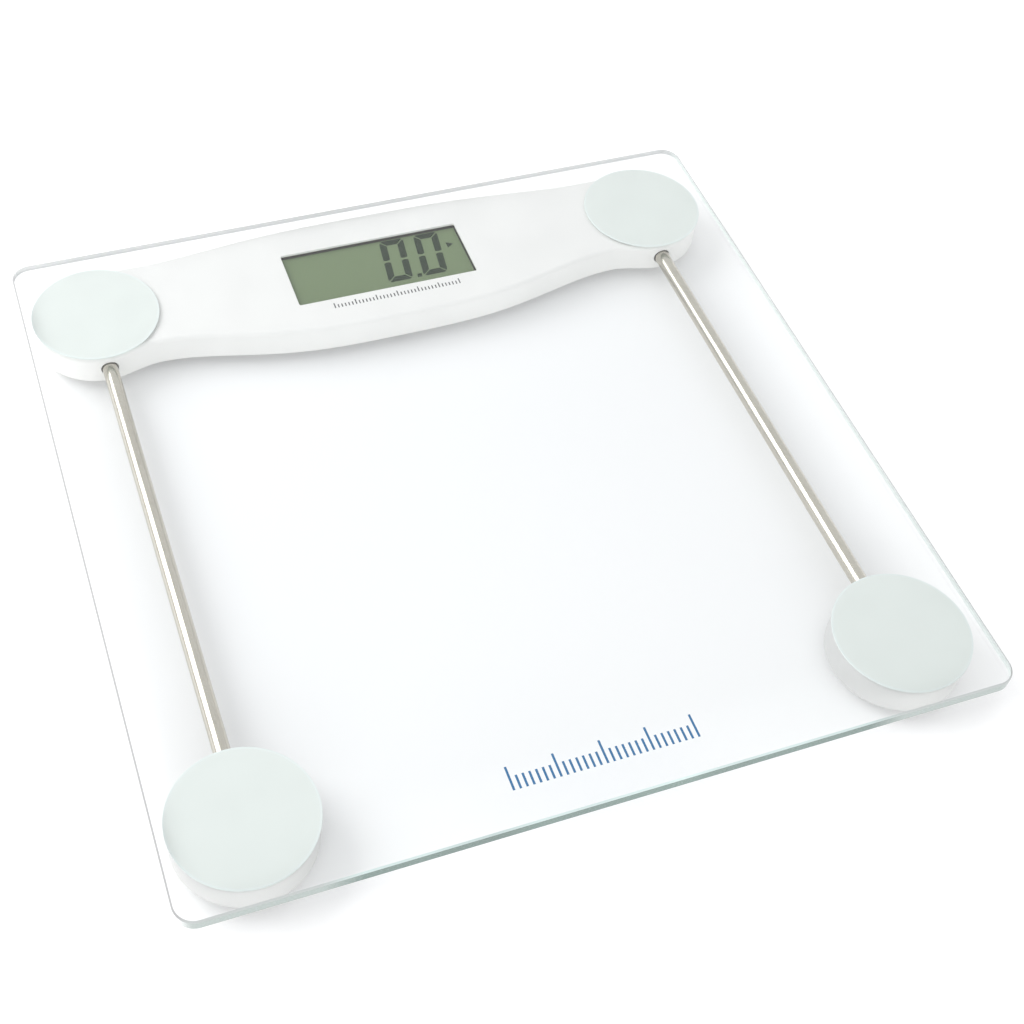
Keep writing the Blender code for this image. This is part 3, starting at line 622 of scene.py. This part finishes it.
def add_bore(bm, x, foot_y, inward):
    """The tube's hole, with a small mouth where it breaks the round wall."""
    add_rod(bm, TUBE_RADIUS + 0.45 * MM, (x, foot_y + inward * 17 * MM, TUBE_Z),
            (x, foot_y + inward * 30 * MM, TUBE_Z), 40)


def make_front_housings():
    for side, hand in ((-1, "left"), (1, "right")):
        at = (side * FOOT_X, -FOOT_Y)
        bm = bmesh.new()
        levels = fillet_levels(HOUSING_BOTTOM, BOSS_TOP, 2 * MM)
        add_lathe(bm, [(HOUSING_RADIUS - inset, height) for height, inset in levels], at, 112)
        mesh = finish_mesh("front_housing", bm)
        tool = bmesh.new()
        add_well(tool, at)
        mesh = carve(mesh, tool)
        tool = bmesh.new()
        add_bore(tool, at[0], at[1], 1)
        mesh = smooth(carve(mesh, tool))
        new_piece(f"seat_housing_{hand}", mesh, FRONT_SHELL_PAINTED_SHADE, "platform",
                  [f"front_housing_{hand}"])


def make_display_housing():
    bm = bmesh.new()
    add_prism(bm, housing_outline(), fillet_levels(HOUSING_BOTTOM, HOUSING_TOP, 2 * MM))
    mesh = finish_mesh("display_housing", bm)

    cavity = bmesh.new()
    add_prism(cavity, middle_outline(WALL, CAVITY_HALF), [(HOUSING_BOTTOM - 2 * MM, 0), (CEILING, 0)])
    walls = bmesh.new()
    for side in (-1, 1):
        add_post(walls, CUP_RADIUS + WALL, (side * FOOT_X, FOOT_Y), 0, 20 * MM, 96)
    cavity = carve(finish_mesh("cavity", cavity), walls)
    mesh = combine(mesh, cavity, "DIFFERENCE")

    tool = bmesh.new()
    for side in (-1, 1):
        add_well(tool, (side * FOOT_X, FOOT_Y))
    mesh = carve(mesh, tool)

    tool = bmesh.new()
    window = rectangle((WINDOW_X - WINDOW_HALF[0], WINDOW_Y - WINDOW_HALF[1]),
                       (WINDOW_X + WINDOW_HALF[0], WINDOW_Y + WINDOW_HALF[1]), 0.8 * MM, 6)
    add_prism(tool, window, [(CEILING - 1 * MM, 0), (PAINTED_SHADE_TOP, 0), (HOUSING_TOP - 0.25 * MM, 0),
                             (HOUSING_TOP - 0.06 * MM, -0.08 * MM),
                             (HOUSING_TOP + 0.1 * MM, -0.5 * MM)])
    for side in (-1, 1):
        add_bore(tool, side * FOOT_X, FOOT_Y, -1)
    mesh = carve(mesh, tool)

    bosses = bmesh.new()
    for side in (-1, 1):
        radius = HOUSING_RADIUS - 1.3 * MM
        profile = [(radius, CEILING + 0.5 * MM), (radius, BOSS_TOP - 0.35 * MM),
                   (radius - 0.1 * MM, BOSS_TOP - 0.1 * MM), (radius - 0.35 * MM, BOSS_TOP)]
        add_lathe(bosses, profile, (side * FOOT_X, FOOT_Y), 112)
    mesh = merged(mesh, bosses)
    # The window's lower walls take the dark material: painted shade in the recess.
    for face in mesh.polygons:
        reach_x = abs(face.center.x - WINDOW_X) - WINDOW_HALF[0]
        reach_y = abs(face.center.y - WINDOW_Y) - WINDOW_HALF[1]
        on_wall = max(reach_x, reach_y) < 0.02 * MM and face.center.z < PAINTED_SHADE_TOP
        face.material_index = 1 if on_wall and abs(face.normal.z) < 0.1 else 0
    new_piece("display_shell", mesh, [SHELL, DARK_MASK_AND_PAINTED_SHADE], "platform", ["display_housing"])


def make_cover():
    """The flush cover below the electronics, with the battery's ring wall and screw seats."""
    bm = bmesh.new()
    add_prism(bm, middle_outline(WALL + GAP, COVER_HALF),
              [(HOUSING_BOTTOM, 0.3 * MM), (HOUSING_BOTTOM + 0.1 * MM, 0.08 * MM),
               (HOUSING_BOTTOM + 0.35 * MM, 0), (COVER_TOP, 0)])
    mesh = finish_mesh("cover", bm)
    ring = bmesh.new()
    ring_radius, ring_top = 12 * MM, 9.1 * MM
    add_post(ring, ring_radius, BATTERY_AT, COVER_TOP - 0.5 * MM, ring_top, 80)
    mesh = combine(mesh, finish_mesh("ring", ring), "UNION")

    tool = bmesh.new()
    for side in (-1, 1):
        add_post(tool, CUP_RADIUS + WALL + 2 * GAP, (side * FOOT_X, FOOT_Y), 0, THROUGH, 96)
    key_hole, key_hollow = 4.3 * MM, 6.2 * MM
    add_post(tool, key_hole, BUTTON_AT, 0, THROUGH, 56)
    add_post(tool, key_hollow, BUTTON_AT, 0, HOUSING_BOTTOM + 0.35 * MM, 56)
    screw_hole, head_hollow = 1.5 * MM, 2.9 * MM
    for at in COVER_SCREWS:
        add_post(tool, screw_hole, at, 0, THROUGH, 24)
        add_post(tool, head_hollow, at, 0, HOUSING_BOTTOM + 1.2 * MM, 40)
    mesh = carve(mesh, tool)

    low = (HINGE_X - GAP, HATCH_LOW.y - GAP)
    high = (HATCH_HIGH.x + GAP, HATCH_HIGH.y + GAP)
    tool = bmesh.new()
    add_prism(tool, rectangle(low, high, 1.2 * MM, 5), [(0, 0), (HOUSING_BOTTOM + 1.4 * MM, 0)])
    battery_hole = 10.6 * MM
    add_post(tool, battery_hole, BATTERY_AT, 0, THROUGH, 80)
    for dy in TAB_OFFSETS:
        slot = rectangle((HINGE_X - 0.5 * MM, BATTERY_AT[1] + dy - 2.3 * MM),
                         (HINGE_X + 3.6 * MM, BATTERY_AT[1] + dy + 2.3 * MM), 0.3 * MM, 2)
        add_prism(tool, slot, [(-1 * MM, 0), (8 * MM, 0)])
    mesh = smooth(carve(mesh, tool))
    new_piece("bottom_cover", mesh, SHELL, "platform", ["display_housing_cover"])


def make_hatch():
    """The battery hatch: a plate with a thumb hollow, grip grooves and two hook tabs."""
    low, high = (HINGE_X, HATCH_LOW.y), (HATCH_HIGH.x, HATCH_HIGH.y)
    bottom, top = HOUSING_BOTTOM, HOUSING_BOTTOM + 1.3 * MM
    bm = bmesh.new()
    add_prism(bm, rectangle(low, high, 1 * MM, 6),
              [(bottom, 0.2 * MM), (bottom + 0.06 * MM, 0.06 * MM), (bottom + 0.2 * MM, 0),
               (top, 0)])
    mesh = finish_mesh("hatch", bm)
    grip = bmesh.new()
    add_rod(grip, 4 * MM, (high[0] - 3.4 * MM, BATTERY_AT[1] - 5 * MM, 0.45 * MM),
            (high[0] - 3.4 * MM, BATTERY_AT[1] + 5 * MM, 0.45 * MM), 64)
    for i in range(4):
        x = high[0] - 8.2 * MM - i * 1.6 * MM
        groove = rectangle((x - 0.3 * MM, BATTERY_AT[1] - 6 * MM),
                           (x + 0.3 * MM, BATTERY_AT[1] + 6 * MM), 0.28 * MM, 4)
        add_prism(grip, groove, [(bottom - 1 * MM, 0), (bottom + 0.35 * MM, 0)])
    mesh = carve(mesh, grip)
    tabs = bmesh.new()
    for dy in TAB_OFFSETS:
        y = BATTERY_AT[1] + dy
        for left, right, under, over in ((0.3, 1.6, 0.5, 2.9), (-1.8, 1.5, 2.3, 2.8)):
            tab = rectangle((HINGE_X + left * MM, y - 1.8 * MM),
                            (HINGE_X + right * MM, y + 1.8 * MM), 0.15 * MM, 2)
            add_prism(tabs, tab, [(bottom + under * MM, 0), (bottom + over * MM, 0)])
    mesh = merged(mesh, tabs)
    new_piece("battery_hatch", mesh, SHELL, "battery_door", ["battery_cover"])


# ---- feet, tubes and small hardware ---------------------------------------------------


def make_feet():
    cap = [(0.01, 7.1), (3.2, 7.1), (3.6, 4.2), (17.4, 4.2), (17.8, 6.5), (21, 6.5), (21, 5.5),
           (19.7, 5.5), (19.7, 2.4), (18.7, 1.4), (16.75, 1.2), (16.7, 2.6), (0.01, 2.6)]
    pad = [(0.01, 2.3), (16.4, 2.3), (16.4, 0.8), (15.6, 0.12), (14.2, 0.0), (13.6, 0.0),
           (13.3, 0.5), (12.5, 0.5), (12.2, 0.0), (10.4, 0.0), (10.1, 0.5), (9.3, 0.5),
           (9.0, 0.0), (7.2, 0.0), (6.9, 0.5), (6.1, 0.5), (5.8, 0.0), (0.01, 0.0)]
    for corner, at in FEET.items():
        for name, profile, material, slot, soft in (
                ("foot_cap", cap, FOOT_PLASTIC, "foot_plastic", 0.25),
                ("foot_pad", pad, PAD, "pad_rubber", 0.12)):
            bm = bmesh.new()
            points = [(r * MM, z * MM) for r, z in rounded(profile, soft, 3)]
            add_lathe(bm, points, at, 96)
            new_piece(f"{name.replace('_', '')}_{corner}", finish_mesh(name, bm), material,
                      f"foot_{corner}", [f"{name}_{corner}"])


def make_tubes():
    for side, hand in ((-1, "left"), (1, "right")):
        half, outer, inner = TUBE_HALF, TUBE_RADIUS, TUBE_BORE
        profile = [(inner, half - 0.1 * MM), (inner + 0.1 * MM, half), (outer - 0.25 * MM, half),
                   (outer, half - 0.25 * MM), (outer, -half + 0.25 * MM),
                   (outer - 0.25 * MM, -half), (inner + 0.1 * MM, -half),
                   (inner, -half + 0.1 * MM)]
        bm = bmesh.new()
        add_lathe(bm, profile, (0, 0), 64, closed=True)
        turn = Matrix.Rotation(math.radians(90), 4, "X")
        bmesh.ops.transform(bm, matrix=Matrix.Translation((side * FOOT_X, 0, TUBE_Z)) @ turn,
                            verts=bm.verts)
        new_piece(f"steel_tube_{hand}", finish_mesh("tube", bm), TUBE, "platform",
                  [f"support_tube_{hand}"])


def make_cover_screws():
    seat = HOUSING_BOTTOM + 0.9 * MM
    for i, at in enumerate(COVER_SCREWS):
        bm = bmesh.new()
        profile = [(0.01, 7), (0.6, 6.8), (1, 6), (1, 0), (2.5, 0), (2.5, -0.45), (2.35, -0.68),
                   (2.0, -0.82), (1.2, -0.85), (0.01, -0.85)]
        add_lathe(bm, [(r * MM, seat + z * MM) for r, z in profile], at, 48)
        mesh = finish_mesh("screw", bm)
        cross = bmesh.new()
        angle = math.radians(17 * (i + 1))
        for turn in (angle, angle + math.pi / 2):
            along = Vector((math.cos(turn), math.sin(turn)))
            across = Vector((-along.y, along.x))
            corners = [(-1.35, -0.26), (1.35, -0.26), (1.35, 0.26), (-1.35, 0.26)]
            outline = [tuple(Vector(at) + along * a * MM + across * b * MM) for a, b in corners]
            add_rings(cross, [[(px, py, seat - 2 * MM) for px, py in outline],
                              [(px, py, seat - 0.3 * MM) for px, py in outline]])
        mesh = smooth(carve(mesh, cross))
        new_piece(f"case_screw_{i + 1}", mesh, SCREW, "platform",
                  [f"cover_screw_{i + 1}"])


def make_unit_key():
    bm = bmesh.new()
    profile = [(0.01, 3.1), (5, 3.1), (5, 2.5), (4, 2.5), (4, 0.45), (3.87, 0.16), (3.6, 0.02),
               (3.2, 0.0), (2.4, 0.12), (1.2, 0.26), (0.01, 0.3)]
    add_lathe(bm, [(r * MM, (3.8 + z) * MM) for r, z in profile], BUTTON_AT, 72)
    new_piece("unit_key_cap", finish_mesh("unit_key", bm), KEY, "unit_key",
              ["unit_button"])


# ---- display ----------------------------------------------------------------------------


def add_flat(bm, outline, low, high):
    """A thin plate from a small outline, anticlockwise."""
    add_rings(bm, [[(x, y, low) for x, y in outline], [(x, y, high) for x, y in outline]])


def zero_segments():
    """Outlines of the six lit bars of a zero, upright, in millimetres from its lower left."""
    width, height, stroke, mid = 10.8, 25.0, 3.0, 12.5
    top = [(1.2, height), (0.75, height - 0.5), (stroke + 0.15, height - stroke),
           (width - stroke - 0.15, height - stroke), (width - 0.75, height - 0.5),
           (width - 1.2, height)]
    bottom = [(x, height - y) for x, y in reversed(top)]
    upper_left = [(0, height - 1.5), (0, mid + 0.9), (stroke / 2, mid + 0.45),
                  (stroke, mid + 0.9), (stroke, height - stroke - 0.4), (0.45, height - 0.95)]
    lower_left = [(x, height - y) for x, y in reversed(upper_left)]
    upper_right = [(width - x, y) for x, y in reversed(upper_left)]
    lower_right = [(width - x, y) for x, y in reversed(lower_left)]
    return [top, bottom, upper_left, lower_left, upper_right, lower_right]


def make_display():
    bm = bmesh.new()
    low, high = LCD_LOW, LCD_HIGH
    outline = rectangle(low.xy, high.xy, 0.4 * MM, 3)
    add_prism(bm, outline, [(low.z, 0.1 * MM), (low.z + 0.1 * MM, 0), (high.z - 0.12 * MM, 0),
                            (high.z, 0.12 * MM)])
    new_piece("lcd_cell", finish_mesh("lcd_cell", bm), DISPLAY, "platform",
              ["lcd_panel"])

    # A dark border round the display: partly its own dark edge, partly painted shade for the gap
    # under the window's edge.
    bm = bmesh.new()
    under, over = high.z + 0.005 * MM, high.z + 0.03 * MM
    outer = rectangle((low.x + 0.5 * MM, low.y + 0.5 * MM), (high.x - 0.5 * MM, high.y - 0.5 * MM),
                      0.4 * MM, 3)
    edge_x, edge_y = WINDOW_HALF[0] - 0.35 * MM, WINDOW_HALF[1] - 0.35 * MM
    inner = rectangle((WINDOW_X - edge_x, WINDOW_Y - edge_y),
                      (WINDOW_X + edge_x, WINDOW_Y + edge_y), 0.4 * MM, 3)
    rings = [[(x, y, z) for x, y in line] for line, z in
             ((outer, under), (outer, over), (inner, over), (inner, under))]
    add_rings(bm, rings, closed=True)
    new_piece("lcd_border_and_gap_shade", finish_mesh("lcd_border_and_gap_shade", bm), DARK_MASK_AND_PAINTED_SHADE, "platform")

    bm = bmesh.new()
    slant, base = 0.128, 105.9
    point = ((12.7, 105.9), (14.7, 105.9), (14.95, 107.9), (12.95, 107.9))
    pointer = ((34.0, 121.6), (31.0, 123.3), (31.0, 119.9))
    for left in (-0.1, 15.4):
        for outline in zero_segments():
            placed = [((left + x + slant * y) * MM, (base + y) * MM) for x, y in outline]
            add_flat(bm, placed, under, over)
    for outline in (point, pointer):
        add_flat(bm, [(x * MM, y * MM) for x, y in outline], under, over)
    new_piece("lcd_digits", finish_mesh("lcd_digits", bm), SEGMENT, "platform")


# ---- printed marks ---------------------------------------------------------------------


def add_ticks(bm, count, every, first, length, y, half, heights, levels):
    """A row of flat ticks along x, first and length in millimetres; one in every few is long."""
    for i in range(count):
        x = (first + length * i / (count - 1)) * MM
        tall = heights[0] if i % every == 0 else heights[1]
        add_flat(bm, [(x - half, y), (x + half, y), (x + half, y + tall * MM),
                      (x - half, y + tall * MM)], *levels)


def make_marks():
    """Plain graduations: one row in front of the display, one under the glass at its front."""
    bm = bmesh.new()
    z = HOUSING_TOP
    add_ticks(bm, 37, 6, -26.6, 54.6, 95.6 * MM, 0.24 * MM, (2.9, 1.9),
              (z + 0.002 * MM, z + 0.02 * MM))
    new_piece("shell_graduation", finish_mesh("shell_graduation", bm), GREY, "platform")

    bm = bmesh.new()
    z = GLASS_LOW.z - 0.03 * MM
    add_ticks(bm, 29, 7, -34.6, 67.2, -135.6 * MM, 0.42 * MM, (9.0, 5.2), (z, z + 0.02 * MM))
    new_piece("glass_graduation", finish_mesh("glass_graduation", bm), BLUE, "platform")


# ---- CAD nodes that keep their own shape --------------------------------------------


def dress_nodes():
    """Gives a finish to every CAD node that is shown as it is."""
    looks = {
        "lcd_holder": HOLDER, "zebra_strip": ZEBRA, "main_board": BOARD,
        "controller_chip": EPOXY, "unit_switch": SWITCH, "coin_cell": CAN,
        "battery_contact_positive": CONTACT, "battery_contact_negative": CONTACT,
        "board_screw_1": SCREW, "board_screw_2": SCREW,
    }
    for corner in FEET:
        looks[f"load_cell_{corner}"] = CELL_STEEL
        looks[f"strain_gauge_{corner}"] = SEALANT
        looks[f"cell_lead_{corner}"] = LEAD
    for name, material in looks.items():
        for slot in NODES[name].material_slots:
            slot.link = "OBJECT"
            slot.material = material


# ---- stage, light and camera ----------------------------------------------------------


def make_stage():
    """A white floor that glows a little, more outside the plate than under it."""
    finish = Finish("stage_white", (0.9, 0.9, 0.9), 0.9)
    finish.paint(finish.blend(finish.span(finish.noise(3, 2), 0, 1), (0.895, 0.897, 0.9),
                              (0.905, 0.905, 0.905)))
    finish.set(**{"Specular IOR Level": 0.1, "Emission Color": (1, 1, 1, 1)})
    centre = 8 * MM
    reach = finish.add("ShaderNodeMath", operation="MAXIMUM")
    for i, value in enumerate(finish.axes()[:2]):
        moved = finish.span(value, -1, 1, (centre - 1, centre + 1))
        finish.link(finish.size(moved), reach.inputs[i])
    glow = finish.span(reach.outputs[0], 0.06, 0.22, (153 * MM, 171 * MM))
    finish.link(glow, finish.shader.inputs["Emission Strength"])
    bm = bmesh.new()
    bmesh.ops.create_circle(bm, cap_ends=True, segments=96, radius=6)
    floor = bpy.data.objects.new("floor", finish_mesh("floor", bm))
    floor.data.materials.append(finish.material)
    bpy.context.scene.collection.objects.link(floor)


def add_lamp(name, at, aim, size, power):
    data = bpy.data.lights.new(name, "AREA")
    data.shape = "RECTANGLE"
    data.size, data.size_y = size
    data.energy = power
    lamp = bpy.data.objects.new(name, data)
    lamp.location = at
    lamp.rotation_euler = (Vector(aim) - Vector(at)).to_track_quat("-Z", "Y").to_euler()
    bpy.context.scene.collection.objects.link(lamp)
    return lamp


def make_light():
    """A white world, a key lamp from the rear left and a fill lamp that leaves the glass out."""
    world = bpy.data.worlds.new("studio")
    bpy.context.scene.world = world
    world.use_nodes = True
    nodes, links = world.node_tree.nodes, world.node_tree.links
    soft = nodes["Background"]
    soft.inputs["Color"].default_value = (0.985, 0.99, 1.0, 1)
    soft.inputs["Strength"].default_value = 0.92
    seen = nodes.new("ShaderNodeBackground")
    seen.inputs["Color"].default_value = (1, 1, 1, 1)
    seen.inputs["Strength"].default_value = 1.0
    path = nodes.new("ShaderNodeLightPath")
    mix = nodes.new("ShaderNodeMixShader")
    links.new(path.outputs["Is Camera Ray"], mix.inputs[0])
    links.new(soft.outputs[0], mix.inputs[1])
    links.new(seen.outputs[0], mix.inputs[2])
    links.new(mix.outputs[0], nodes["World Output"].inputs["Surface"])
    add_lamp("key", (-0.72, 0.52, 0.74), (0, 0, 0), (0.8, 0.8), 7.6)
    fill = add_lamp("fill", (-0.35, -1.3, 0.4), (0, 0.1, 0), (1.4, 0.7), 5.4)
    unlit = bpy.data.collections.new("not_lit_by_fill")
    unlit.objects.link(bpy.data.objects["glass_plate"])
    unlit.collection_objects[0].light_linking.link_state = "EXCLUDE"
    fill.light_linking.receiver_collection = unlit
    view = bpy.context.scene.view_settings
    view.view_transform = "Standard"
    view.look = "None"


def make_camera():
    data = bpy.data.cameras.new("camera")
    data.sensor_width = 36
    data.lens = 55.889
    data.shift_x = 0.04933
    data.shift_y = -0.0147
    data.clip_start = 0.01
    data.clip_end = 30
    camera = bpy.data.objects.new("camera", data)
    camera.location = (-0.16118, -0.35710, 0.48441)
    camera.rotation_euler = [math.radians(a) for a in (38.7381, -3.50355, -19.4062)]
    bpy.context.scene.collection.objects.link(camera)
    bpy.context.scene.camera = camera


make_glass()
make_seats()
make_front_housings()
make_display_housing()
make_cover()
make_hatch()
make_feet()
make_tubes()
make_cover_screws()
make_unit_key()
make_display()
make_marks()
dress_nodes()
make_stage()
make_light()
make_camera()
